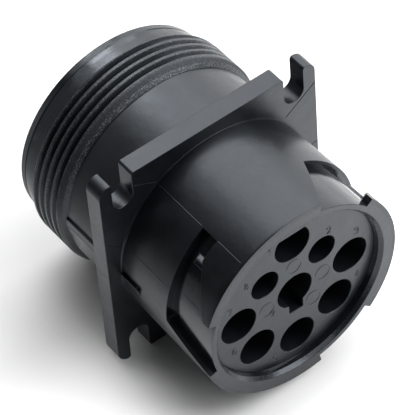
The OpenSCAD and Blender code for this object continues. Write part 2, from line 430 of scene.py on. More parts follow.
def clip_top(path, z):
    """The stretch of a path between its first and last crossing of height z."""
    p = [np.array(q) for q in path]
    for end in (0, -1):
        a, b = (p[0], p[1]) if end == 0 else (p[-1], p[-2])
        t = (z - a[1]) / (b[1] - a[1])
        q = a + (b - a) * t
        q[1] = z
        p[end] = q
    return np.array(p)


def resample(path, step):
    out = [path[0]]
    for a, b in zip(path[:-1], path[1:]):
        n = max(1, int(math.ceil(np.linalg.norm(b - a) / step)))
        out += [a + (b - a) * (i + 1) / n for i in range(n)]
    return np.array(out)


class Sheet:
    """Points and fixed lines of an unrolled surface."""

    def __init__(self):
        self.pts, self.edges = [], []

    def line(self, L):
        n0 = len(self.pts)
        self.pts += [(float(a), float(b)) for a, b in L]
        self.edges += [(n0 + i, n0 + i + 1) for i in range(len(L) - 1)]

    def dots(self, L):
        self.pts += [(float(a), float(b)) for a, b in L]


def front_barrel(skin):
    sh = Sheet()
    s0, s1 = PH0 * KF, (PH0 + 360) * KF
    sg = np.linspace(s0, s1, NS + 1)
    low = [Z_FL + ROOT - ROOT * math.sin(t) for t in quarter(2)][::-1]
    high = [Z_RIM - RIM_LOW * k for k in (1.0, 0.75, 0.5, 0.3)]
    high += [Z_RIM - RIM_RND + RIM_RND * math.sin(t) for t in quarter(3)]
    low[0], high[-1] = Z_FL, Z_RIM
    for z in low + high:
        sh.line([(s, z) for s in sg])
    mids = list(np.arange(low[-1] + 0.9, high[0] - 0.4, 0.95))
    for s in (s0, s1):
        sh.line([(s, z) for z in low + mids + high])
    offs = [TOP_RND * (1 - math.sin(t)) for t in quarter(4)]
    offs += [-EPS - FOOT * (1 - math.cos(t)) for t in quarter(2)]
    offs[4], offs[5] = 0.0, -EPS
    for k in range(3):
        path = TRACK_MM + [120.0 * k * KF, 0]
        for o in offs:
            sh.line(resample(clip_top(offset_path(path, o), Z_RIM), 0.36))
        for a in (14.9, 15.2, 15.5, 16.0, 16.4, 16.8, 17.2, 17.55, 17.9, 18.4, 19.0, 19.6, 20.2, 20.4, 20.6, 20.95, 21.3):
            za = Z_EAR - 0.12 + max(0.0, a - A_RAMP) / (A_EAR - A_RAMP) * (Z_THIN - Z_EAR)
            zs = list(np.linspace(Z_TRACK + 0.16, Z_TRACK + 1.46, 8)) + list(np.linspace(Z_TRACK + 1.8, za, 4))
            sh.line([((a + 120 * k) * KF, z) for z in zs])
    G = np.array([(s, z) for s in sg[1:-1] for z in mids])
    d = track_distance(G[:, 0] / KF, G[:, 1])
    loc = np.mod(G[:, 0] / KF - PH0, 120.0) + PH0
    near = (np.abs(d) < 0.3) | ((d < 0) & (loc > 14) & (loc < 22.2) & (G[:, 1] < 16.0))
    near |= FRONT_MARKS.lift(G)[1] < 0.12
    near |= inside(offset_loop(FRONT_RIB, 0.15)[0], G)
    for L in list(FRONT_MARKS.lines()) + list(rib_lines(FRONT_RIB, [a * KF for a in (179.4, 181.0, 182.7)])):
        sh.line(L)
    sh.dots(G[~near])
    Q, F = triangulate(sh.pts, sh.edges)
    ph, z = Q[:, 0] / KF, Q[:, 1]
    ph = np.where(np.abs(Q[:, 0] - s1) < 1e-6, PH0, ph)
    r, d = front_radius(ph, z)
    lift = FRONT_MARKS.lift(Q)[0] + front_rib(Q)
    r = r + lift
    a = np.radians(ph)
    P = np.column_stack([r * np.cos(a), r * np.sin(a), z])
    # true normals where the surface is turned
    N = np.full(P.shape, np.nan)
    slope = np.full(len(P), (R_FRONT1 - R_FRONT0) / (Z_RIM - Z_FL))
    slope[d < 0] = FLOOR_DRAFT
    tilt = np.arctan(-slope)
    u = np.clip(Z_FL + ROOT - z, 0, ROOT)
    tilt = np.where(u > 0, np.arcsin(u / ROOT), tilt)
    u = np.clip(z - (Z_RIM - RIM_RND), 0, RIM_RND)
    fall = np.arctan(2 * rim_fall(ph) / RIM_LOW * np.clip((z - Z_RIM + RIM_LOW) / RIM_LOW, 0, 1))
    tilt = np.where(fall > 0, fall, tilt)
    tilt = np.where(u > 0, np.maximum(np.arcsin(u / RIM_RND), fall), tilt)
    plain = (d > TOP_RND - 1e-4) | ((d < -EPS - FOOT + 1e-4) & (hump(ph, z) <= 0))
    plain &= np.abs(lift) < 1e-6
    N[plain] = np.column_stack([np.cos(a) * np.cos(tilt), np.sin(a) * np.cos(tilt), np.sin(tilt)])[plain]
    N[z >= Z_RIM - 1e-6] = (0, 0, 1)
    add_ribbed(skin, P, F, N, Q, FRONT_RIB)

    def edge(zz):
        i = np.where((np.abs(z - zz) < 1e-6) & (Q[:, 0] < s1 - 1e-6))[0]
        return P[i[np.argsort(Q[i, 0])]]
    return edge(Z_FL), edge(Z_RIM)


# ---------------------------------------------------------------- rear barrel
KR = math.radians(1) * 15.4
PR0 = -60.0
Z_EDGE = -9.42                       # front edge of the land at 100 degrees
GROOVE = 0.86                        # groove width at the crests
RUN_OUT = 250.0                      # where the first groove fades into the land
ROOT_R = 0.25


REAR_MARKS = Marks()
REAR_MARKS.line([(179.3 * KR, -7.85), (179.3 * KR, -0.5)], 0.09, 0.035)
# shoulder in front of the thread: the land falls away, then a chamfer with a crease at its foot
SHOULDER_Z = [-9.30, -9.20, -8.66, -8.60, -8.17, -8.10, -8.03]
SHOULDER_R = [R_MAJOR, R_MAJOR - 0.025, R_REAR + 0.54, R_REAR + 0.495, R_REAR + 0.03, R_REAR - 0.11, R_REAR]
GRAIN_Z0, GRAIN_Z1 = -9.25, -8.19    # spark-eroded grain of the land and its chamfer
REAR_RIB = np.array([[175.2, -8.2], [189.0, -8.2], [189.0, -0.27], [175.2, -0.27]]) * [KR, 1]


def rear_rib(Q):
    return rib_rise(REAR_RIB, 0.28 * np.interp(Q[:, 0] / KR, [175.0, 179.3, 189.0], [1, 1, 0]), Q)


def thread_depth(ph, z):
    """Depth of the thread groove below the crests."""
    phl = np.mod(ph, 360.0)
    q = (z - (Z_EDGE - PITCH) - PITCH * (phl - 100.0) / 360.0) / PITCH
    m = np.floor(q + 0.03 / PITCH)
    x = (q - m) * PITCH
    v = np.minimum(x, GROOVE - x)
    dep = np.clip(v, 0, None) * 1.732
    # rounded crest corners and root
    dep = np.where(v < 0.025, np.clip(v + 0.025, 0, None) ** 2 * 17.32, dep)
    over = np.clip(dep - 0.62, 0, None)
    dep = dep - over + 0.09 * (1 - np.exp(-over / 0.09))
    theta = phl + 360.0 * m
    fade = np.clip((RUN_OUT - theta) / 32.0, 0, 1)
    # the grooves flatten out at the upper right
    flat = np.interp(phl, [0, 10, 26, 44, 82, 345, 360], [0.7, 0.5, 0.22, 0.22, 1.0, 1.0, 0.7])
    return dep * flat * fade * fade * (3 - 2 * fade)


def rear_radius(ph, z):
    z = np.asarray(z, float)
    base = np.interp(z, [-15.38, -15.32, -14.66, -14.56] + SHOULDER_Z,
                     [R_COLLAR, R_COLLAR + 0.06, R_MAJOR - 0.07, R_MAJOR] + SHOULDER_R)
    zone = (z > -15.38) & (z < -8.6)
    crest = R_MAJOR - thread_depth(ph, z)
    r = np.where(zone, np.minimum(base, crest), base)
    r = np.where(zone, np.maximum(r, R_COLLAR), r)
    deep = np.interp(np.mod(ph, 360.0), [0, 86, 94, 106, 126, 200, 230, 360], [0.11, 0.11, 0.03, 0.03, 0.18, 0.18, 0.11, 0.11])
    r = r - deep * np.cos(np.clip(np.abs(z - Z_LINE) / W_LINE, 0, 1) * math.pi / 2) ** 2
    r = r - np.interp(z, [Z_COLLAR, Z_LINE], [R_COLLAR - R_LIP, 0])
    u = np.clip(z + ROOT_R, 0, ROOT_R)
    return r + ROOT_R - np.sqrt(ROOT_R ** 2 - u ** 2)


def grain_points():
    """Scattered points of the grain with their heights, unrolled."""
    rng = np.random.default_rng(11)
    step = 0.20
    s = np.arange(PR0 * KR + step, (PR0 + 360) * KR - step / 2, step)
    z = np.concatenate([np.arange(GRAIN_Z0 + 0.1, -8.71, step * 0.7), [-8.53, -8.42, -8.30]])
    S, Z = np.meshgrid(s, z)
    S = S + (np.arange(len(z)) % 2)[:, None] * step / 2
    S = S + rng.uniform(-0.06, 0.06, S.shape)
    Z = Z + rng.uniform(-1, 1, Z.shape) * np.where(z < -8.6, 0.05, 0.03)[:, None]
    h = rng.uniform(-1, 1, S.shape) * 0.014
    ph = S / KR
    h *= np.interp(np.mod(ph, 360.0), [0, 60, 140, 172, 190, 350], [1, 1, 1, 0.35, 0.4, 1])
    # the land stays clear of the first groove and of the rows of the profile
    ok = Z < GRAIN_Z1
    for row in SHOULDER_Z[:5]:
        ok &= np.abs(Z - row) > 0.035
    for o in (-0.10, 0.0, 0.10):
        ok &= thread_depth(ph, Z + o) < 1e-6
    return np.column_stack([S[ok], Z[ok]]), h[ok]


def rear_barrel(skin):
    sh = Sheet()
    s0, s1 = PR0 * KR, (PR0 + 360) * KR
    sg = np.linspace(s0, s1, NS + 1)
    top = [-ROOT_R + ROOT_R * math.sin(t) for t in quarter(4)]
    top[-1] = 0.0
    rows = [Z_COLLAR] + [Z_LINE + o * W_LINE for o in (-1.0, -0.7, -0.4, 0.0, 0.4, 0.7, 1.0)]
    rows += [-15.38, -15.32, -14.66, -14.56] + SHOULDER_Z + top
    for z in rows:
        sh.line([(s, z) for s in sg])
    mids = [-17.9, -16.8, -16.0, -7.3, -6.6, -5.6, -4.6, -3.6, -2.6, -1.6, -0.8]
    side = sorted(rows + mids)
    for x in (-0.025, 0.0, 0.025, 0.355, 0.39, 0.43, 0.47, 0.505, GROOVE - 0.025, GROOVE, GROOVE + 0.025):
        for k in range(0, 8):
            z = Z_EDGE - PITCH * k + x + PITCH * (sg / KR - 100.0) / 360.0
            run = []
            for s, zz in zip(sg, z):
                ok = -15.29 < zz < -8.70
                if ok:
                    run.append((s, zz))
                if (not ok or s == sg[-1]) and run:
                    if len(run) > 1:
                        sh.line(run)
                    run = []
            # both sides of the seam hold the same heights
            for zz in (z[0], z[-1]):
                if -15.29 < zz < -8.70:
                    side.append(float(zz))
    side = sorted(side)
    side = [z for i, z in enumerate(side) if i == 0 or z - side[i - 1] > 1e-4]
    for s in (s0, s1):
        sh.line([(s, z) for z in side])
    for L in list(REAR_MARKS.lines()) + list(rib_lines(REAR_RIB, [a * KR for a in (177.2, 182.0, 185.5)])):
        sh.line(L)
    G = np.array([(s, z) for s in sg[1:-1] for z in mids])
    near = (REAR_MARKS.lift(G)[1] < 0.12) | inside(offset_loop(REAR_RIB, 0.15)[0], G)
    GP, GH = grain_points()
    near |= (G[:, 1] < GRAIN_Z1) & (G[:, 1] > GRAIN_Z0)
    clear = ~inside(offset_loop(REAR_RIB, 0.12)[0], GP)
    GP, GH = GP[clear], GH[clear]
    sh.dots(G[~near])
    sh.dots(GP)
    Q, F = triangulate(sh.pts, sh.edges)
    grain = np.zeros(len(Q))
    pair = {(round(float(a), 5), round(float(b), 5)): float(h) for (a, b), h in zip(GP, GH)}
    for i, (a, b) in enumerate(Q):
        grain[i] = pair.get((round(float(a), 5), round(float(b), 5)), 0.0)
    ph, z = Q[:, 0] / KR, Q[:, 1]
    ph = np.where(np.abs(Q[:, 0] - s1) < 1e-6, PR0, ph)
    lift = REAR_MARKS.lift(Q)[0] + rear_rib(Q)
    r = rear_radius(ph, z)
    r = np.where(lift > 1e-6, np.maximum(r, R_REAR + lift), r) + grain
    lift = r - rear_radius(ph, z)
    a = np.radians(ph)
    P = np.column_stack([r * np.cos(a), r * np.sin(a), z])
    N = np.full(P.shape, np.nan)
    u = np.clip(z + ROOT_R, 0, ROOT_R)
    tilt = -np.arcsin(u / ROOT_R)
    tilt[z < Z_LINE] = -math.atan((R_COLLAR - R_LIP) / (Z_LINE - Z_COLLAR))
    plain = ((z > -8.031) | (z < -15.37)) & (np.abs(lift) < 1e-6) & (np.abs(z - Z_LINE) > 0.99 * W_LINE)
    N[plain] = np.column_stack([np.cos(a) * np.cos(tilt), np.sin(a) * np.cos(tilt), np.sin(tilt)])[plain]
    # thread: the slope of the section itself
    e, f = 0.002, 0.04
    dz = (rear_radius(ph, z + e) - rear_radius(ph, z - e)) / (2 * e)
    dp = (rear_radius(ph + f, z) - rear_radius(ph - f, z)) / (2 * math.radians(f))
    cut = (z > -15.31) & (z < -8.495) & (grain == 0)
    T = np.column_stack([np.cos(a) + np.sin(a) * dp / r, np.sin(a) - np.cos(a) * dp / r, -dz])
    N[cut] = (T / np.linalg.norm(T, axis=1)[:, None])[cut]
    add_ribbed(skin, P, F, N, Q, REAR_RIB)

    def edge(zz):
        i = np.where((np.abs(z - zz) < 1e-6) & (Q[:, 0] < s1 - 1e-6))[0]
        return P[i[np.argsort(Q[i, 0])]]
    return edge(0.0), edge(Z_COLLAR)


# ---------------------------------------------------------------- flange
def rounded(corners, arc_step=12.0, run=1.2):
    """Closed outline through corners (x, y, radius), counter-clockwise, with
    outward normals."""
    pts, nor = [], []
    n = len(corners)
    for i in range(n):
        p0, p1, p2 = (np.array(corners[(i + j) % n][:2], float) for j in (-1, 0, 1))
        r = corners[i][2]
        a, b = (p0 - p1) / np.linalg.norm(p0 - p1), (p2 - p1) / np.linalg.norm(p2 - p1)
        half = math.acos(np.clip(a @ b, -1, 1)) / 2
        cut = r / math.tan(half)
        turn = (p1 - p0)[0] * (p2 - p1)[1] - (p1 - p0)[1] * (p2 - p1)[0]
        c = p1 + (a + b) / np.linalg.norm(a + b) * r / math.sin(half)
        u, v = p1 + a * cut - c, p1 + b * cut - c
        t0 = math.atan2(u[1], u[0])
        dt = math.atan2(u[0] * v[1] - u[1] * v[0], u @ v)
        m = max(2, int(math.ceil(abs(math.degrees(dt)) / arc_step)))
        for j in range(m + 1):
            t = t0 + dt * j / m
            e = np.array([math.cos(t), math.sin(t)])
            pts.append(c + e * r)
            nor.append(e if turn > 0 else -e)
    P, N = [], []
    for i in range(len(pts)):
        P.append(pts[i])
        N.append(nor[i])
        q = pts[(i + 1) % len(pts)]
        m = int(np.linalg.norm(q - pts[i]) // run)
        for j in range(1, m):
            P.append(pts[i] + (q - pts[i]) * j / m)
            N.append(nor[i])
    return np.array(P), np.array(N)


FLANGE_MARKS = Marks()
for a, b, w, h in (((-8.38, 12.59), (-11.5, 14.27), 0.055, 0.05), ((-16.5, 6.69), (-14.24, 4.94), 0.055, 0.05),
                   ((11.8, 9.83), (16.5, 13.0), 0.09, -0.10), ((15.3, 1.92), (16.5, 2.18), 0.09, -0.10)):
    FLANGE_MARKS.line([a, b], w, h)


def root_ring(skin, loop):
    """Low wandering flash line on the flange, round the front barrel."""
    ph = PH0 + np.arange(NS) * 360.0 / NS
    at = np.mod(ph, 360.0)
    R = np.interp(at, [0, 60, 95, 111, 123, 152, 157.5, 160, 176, 190, 240, 360],
                  [14.80, 14.78, 14.74, 14.74, 14.90, 14.95, 14.94, 14.86, 14.75, 14.76, 14.80, 14.80])
    H = np.interp(at, [0, 60, 100, 123, 135, 150, 157, 160, 177, 185, 240, 360],
                  [0.05, 0.05, 0.07, 0.08, 0.05, 0.03, 0.03, 0.085, 0.08, 0.04, 0.04, 0.05])
    a, w = np.radians(ph), 0.055
    lev = [np.column_stack([(R + k * w) * np.cos(a), (R + k * w) * np.sin(a), Z_FL + f * H])
           for k, f in ((-1, 0), (-0.5, 0.5), (0, 1), (0.5, 0.5), (1, 0))]
    N = np.full((5 * NS, 3), np.nan)
    N[:NS] = N[-NS:] = (0, 0, 1)
    F = []
    for i in range(4):
        for k in range(NS):
            l = (k + 1) % NS
            F.append((i * NS + l, i * NS + k, (i + 1) * NS + k, (i + 1) * NS + l))
    skin.add(np.vstack(lev), F, N)
    plane_patch(skin, Z_FL, 1, lev[0][:, :2], [loop[:, :2]])
    return lev[-1]


def flange(skin, front_loop, rear_loop):
    wi, wo, yb = 11.725, 14.775, 11.725
    quad = [(HALF, HALF, 1.6), (wo, HALF, 0.27), (wo, yb, 1.5), (wi, yb, 1.5), (wi, HALF, 0.4)]
    cs = [(HALF, HALF, 1.45), (wo, HALF, 0.40)] + quad[2:]
    cs += [(-x, y, r) for x, y, r in quad[::-1]]
    # the lower ends are rounder: a wide arc that runs into a small one
    quad[:2] = [(HALF, 15.974, 1.98), (wo, 16.810, 0.48)]
    cs += [(-x, -y, r) for x, y, r in quad]
    cs += [(x, -y, r) for x, y, r in quad[::-1]]
    P, N = rounded(cs)
    # fine line across the left side
    y0, w = 0.40, 0.07
    i = int(np.where((P[:, 0] < 0.01 - HALF) & (P[:, 1] > y0 + w))[0][np.argmin(
        P[(P[:, 0] < 0.01 - HALF) & (P[:, 1] > y0 + w), 1])])
    j = i + 1
    while P[j, 1] > y0 - w:
        j += 1
    add = [(-HALF, y0 + w, 0.0), (-HALF + 0.015, y0 + w / 2, -0.5), (-HALF + 0.03, y0, 0.0),
           (-HALF + 0.015, y0 - w / 2, 0.5), (-HALF, y0 - w, 0.0)]
    P = np.vstack([P[:i + 1], [v[:2] for v in add], P[j:]])
    N = np.vstack([N[:i + 1], [(-math.sqrt(1 - v[2] ** 2), v[2]) for v in add], N[j:]])
    e = 0.06
    lev = [(e * (1 - math.sin(t)), Z_FL - e * (1 - math.cos(t)), math.sin(t), math.cos(t)) for t in quarter(3)]
    lev += [(e * (1 - math.cos(t)), e * (1 - math.sin(t)), math.cos(t), -math.sin(t)) for t in quarter(3)]
    n = len(P)
    V = np.vstack([np.column_stack([P - N * o, np.full(n, z)]) for o, z, _, _ in lev])
    M = np.vstack([np.column_stack([N * h, np.full(n, v)]) for _, _, h, v in lev])
    F = []
    for i in range(len(lev) - 1):
        for k in range(n):
            l = (k + 1) % n
            F.append((i * n + l, i * n + k, (i + 1) * n + k, (i + 1) * n + l))
    skin.add(V, F, M)
    plane_patch(skin, Z_FL, 1, P - N * e, [root_ring(skin, front_loop)[:, :2]], FLANGE_MARKS)
    plane_patch(skin, 0.0, -1, P - N * e, [rear_loop[:, :2]])


# ---------------------------------------------------------------- shell
def shell(material):
    skin = Skin()
    root_loop, rim_loop = front_barrel(skin)
    rear_loop, _ = rear_barrel(skin)
    flange(skin, root_loop, rear_loop)
    lead = [(13.16, Z_RIM), (13.11, Z_RIM - 0.02), (13.08, Z_RIM - 0.06), (R_SEAT + 0.03, Z_RIM - 0.50),
            (R_SEAT, Z_RIM - 0.57), (R_SEAT, 1.0), (12.0, 1.0), (12.0, -0.5), (13.0, -0.5),
            (13.0, Z_END + 0.42), (13.04, Z_END + 0.34), (13.36, Z_END + 0.02), (13.44, Z_END),
            (14.42, Z_END), (14.50, Z_END + 0.03), (R_LIP - 0.03, Z_COLLAR - 0.06), (R_LIP, Z_COLLAR)]
    plane_patch(skin, Z_RIM, 1, rim_loop[:, :2], [ring(13.16, ph0=PH0)])
    revolve(skin, lead[:9], smooth=(1, 2, 4), ph0=PH0)
    # the rear end meets the rear barrel's own division
    revolve(skin, lead[8:], smooth=(2, 3, 5, 6), ph0=PR0)
    return skin.build("shell_moulding", material)


# ---------------------------------------------------------------- insulator
PLACES = [(8.735, 90, 1), (6.263, 45, 0), (8.735, 0, 1), (8.735, -45, 1), (8.735, -90, 1),
          (8.735, -135, 1), (8.735, 180, 1), (6.263, 135, 0), (0.0, 0, 1)]
Z_CAV, Z_WEB = Z_FACE - 11.6, -0.5


def place(p):
    a = math.radians(p[1])
    return p[0] * math.cos(a), p[0] * math.sin(a)


def cavity_outline(i):
    """Counter-clockwise outline of a cavity."""
    p = PLACES[i]
    cx, cy = place(p)
    r = 2.67 if p[2] else 2.07
    if i == 0:
        h = math.degrees(math.asin((10.5 - cy) / r))
        a = np.radians(np.linspace(180 - h, 360 + h, 49))
        L = np.column_stack([cx + r * np.cos(a), cy + r * np.sin(a)])
        chord = np.linspace(L[-1], L[0], 8)[1:-1]
        return np.vstack([L, chord])
    if i == 8:
        x0, x1, yb = -0.975, 1.175, -3.95
        a0 = math.degrees(math.atan2(-math.sqrt(r * r - x1 * x1), x1))
        a1 = math.degrees(math.atan2(-math.sqrt(r * r - x0 * x0), x0)) + 360
        a = np.radians(np.linspace(a0, a1, 49))
        L = np.column_stack([r * np.cos(a), r * np.sin(a)])
        f = 0.22
        key = [(x0, yb + f)] + [(x0 + f - f * math.cos(t), yb + f - f * math.sin(t)) for t in quarter(3)[1:]]
        key += [(x1 - f + f * math.sin(t), yb + f - f * math.cos(t)) for t in quarter(3)]
        return np.vstack([L, key])
    return ring(r, 56, c=(cx, cy))


def offset_loop(L, o):
    """Closed counter-clockwise loop grown by o."""
    a, b, c = np.roll(L, 1, axis=0), L, np.roll(L, -1, axis=0)
    def nrm(e):
        return np.column_stack([e[:, 1], -e[:, 0]]) / np.linalg.norm(e, axis=1)[:, None]
    n0, n1 = nrm(b - a), nrm(c - b)
    m = (n0 + n1) / (1 + (n0 * n1).sum(1))[:, None]
    return L + m * o, m / np.linalg.norm(m, axis=1)[:, None]


STROKES = {
    "1": [[(0.12, 0.80), (0.32, 1), (0.32, 0)]],
    "2": [[(0, 0.78), (0.15, 0.98), (0.45, 0.98), (0.6, 0.78), (0.6, 0.62), (0, 0), (0.6, 0)]],
    "3": [[(0, 0.9), (0.15, 1), (0.45, 1), (0.6, 0.85), (0.6, 0.65), (0.42, 0.53), (0.22, 0.53)],
          [(0.42, 0.53), (0.6, 0.4), (0.6, 0.15), (0.45, 0), (0.15, 0), (0, 0.12)]],
    "4": [[(0.45, 0), (0.45, 1), (0, 0.3), (0.6, 0.3)]],
    "5": [[(0.55, 1), (0.05, 1), (0.02, 0.55), (0.4, 0.6), (0.6, 0.42), (0.6, 0.18), (0.42, 0), (0.15, 0), (0, 0.1)]],
    "6": [[(0.52, 0.95), (0.3, 1), (0.1, 0.8), (0, 0.4), (0.05, 0.12), (0.25, 0), (0.45, 0.03), (0.6, 0.2),
           (0.58, 0.42), (0.4, 0.55), (0.15, 0.5), (0.02, 0.32)]],
    "7": [[(0, 1), (0.6, 1), (0.22, 0)]],
    "8": [[(0.3, 0.55), (0.1, 0.66), (0.08, 0.86), (0.3, 1), (0.52, 0.86), (0.5, 0.66), (0.3, 0.55),
           (0.05, 0.38), (0.05, 0.12), (0.3, 0), (0.55, 0.12), (0.55, 0.38), (0.3, 0.55)]],
    "9": [[(0.08, 0.05), (0.3, 0), (0.5, 0.2), (0.6, 0.6), (0.55, 0.88), (0.35, 1), (0.15, 0.97), (0, 0.8),
           (0.02, 0.58), (0.2, 0.45), (0.45, 0.5), (0.58, 0.68)]]}


def face_marks():
    """Cavity numbers and the witness rings of the ejector pins."""
    m = Marks()
    for n, x, y in (("1", -3.37, 9.88), ("2", 5.64, 7.16), ("3", 9.89, 3.77), ("4", 9.78, -4.39),
                    ("5", -3.63, -10.42), ("6", -9.70, -4.25), ("7", -9.88, 3.51), ("8", -7.21, 6.40),
                    ("9", -3.57, -1.59)):
        for path in STROKES[n]:
            m.line([(x + 1.05 * (a - 0.3), y + 1.05 * (b - 0.5)) for a, b in path], 0.065, 0.07)
    for x, y in ((0.05, 4.60), (4.40, 0.10), (-4.39, -0.32), (2.75, -3.55)):
        m.circle((x, y), 1.12, 0.06, 0.06)
    return m


def insulator(material):
    skin = Skin()
    e, ro = 0.09, R_SEAT - 0.02
    loops, bores = [], []
    for i, p in enumerate(PLACES):
        L = cavity_outline(i)
        c = place(p)
        rb = (1.18 if p[2] else 0.785) + 0.05
        _, m = offset_loop(L, 0.0)
        n = len(L)
        lev = [(e * (1 - math.sin(t)), Z_FACE - e * (1 - math.cos(t)), math.sin(t), math.cos(t)) for t in quarter(3)]
        V = [np.column_stack([offset_loop(L, o)[0], np.full(n, z)]) for o, z, _, _ in lev]
        M = [np.column_stack([-m * h, np.full(n, v)]) for _, _, h, v in lev]
        loops.append(V[0][:, :2])
        V.append(np.column_stack([L, np.full(n, Z_CAV)]))
        M.append(np.column_stack([-m, np.zeros(n)]))
        F = []
        for j in range(len(V) - 1):
            for k in range(n):
                l = (k + 1) % n
                F.append((j * n + k, j * n + l, (j + 1) * n + l, (j + 1) * n + k))
        skin.add(np.vstack(V), F, np.vstack(M))
        bore = ring(rb, 32, c=c)
        bores.append(bore)
        plane_patch(skin, Z_CAV, 1, L, [bore])
        revolve(skin, [(rb, Z_CAV), (rb, Z_WEB)], n=32, c=c)
    plane_patch(skin, Z_FACE, 1, ring(ro - 0.05), loops, face_marks())
    revolve(skin, [(ro - 0.05, Z_FACE), (ro, Z_FACE - 0.05), (ro, 1.0), (11.98, 1.0), (11.98, Z_WEB)],
            outward=True)
    plane_patch(skin, Z_WEB, -1, ring(11.98), bores)
    return skin.build("insulator_moulding", material)


# ---------------------------------------------------------------- materials
def nodes_of(name):
    m = bpy.data.materials.new(name)
    m.use_nodes = True
    nt = m.node_tree
    nt.nodes.clear()
    out = nt.nodes.new("ShaderNodeOutputMaterial")
    b = nt.nodes.new("ShaderNodeBsdfPrincipled")
    nt.links.new(b.outputs["BSDF"], out.inputs["Surface"])
    tc = nt.nodes.new("ShaderNodeTexCoord")
    mm = nt.nodes.new("ShaderNodeVectorMath")
    mm.operation = "SCALE"
    mm.inputs["Scale"].default_value = 1000.0
    nt.links.new(tc.outputs["Object"], mm.inputs[0])
    return m, nt, b, mm.outputs["Vector"]


def noise(nt, vec, scale, detail=2.0, rough=0.5):
    n = nt.nodes.new("ShaderNodeTexNoise")
    n.inputs["Scale"].default_value = scale
    n.inputs["Detail"].default_value = detail
    n.inputs["Roughness"].default_value = rough
    nt.links.new(vec, n.inputs["Vector"])
    return n.outputs["Fac"]


def remap(nt, val, lo, hi, a, b, smooth=False):
    n = nt.nodes.new("ShaderNodeMapRange")
    if smooth:
        n.interpolation_type = "SMOOTHSTEP"
    for k, v in zip(("From Min", "From Max", "To Min", "To Max"), (lo, hi, a, b)):
        n.inputs[k].default_value = v
    nt.links.new(val, n.inputs["Value"])
    return n.outputs["Result"]


def math_node(nt, op, a, b=None):
    n = nt.nodes.new("ShaderNodeMath")
    n.operation = op
    for i, v in enumerate((a, b)):
        if v is None:
            continue
        if isinstance(v, (int, float)):
            n.inputs[i].default_value = v
        else:
            nt.links.new(v, n.inputs[i])
    return n.outputs["Value"]


def mix_colour(nt, fac, a, b):
    n = nt.nodes.new("ShaderNodeMix")
    n.data_type = "RGBA"
    n.inputs[6].default_value = (*a, 1)
    n.inputs[7].default_value = (*b, 1)
    nt.links.new(fac, n.inputs[0])
    return n.outputs[2]


def bump(nt, height, strength, distance, below=None):
    n = nt.nodes.new("ShaderNodeBump")
    n.inputs["Strength"].default_value = strength
    n.inputs["Distance"].default_value = distance
    nt.links.new(height, n.inputs["Height"])
    if below is not None:
        nt.links.new(below, n.inputs["Normal"])
    return n.outputs["Normal"]


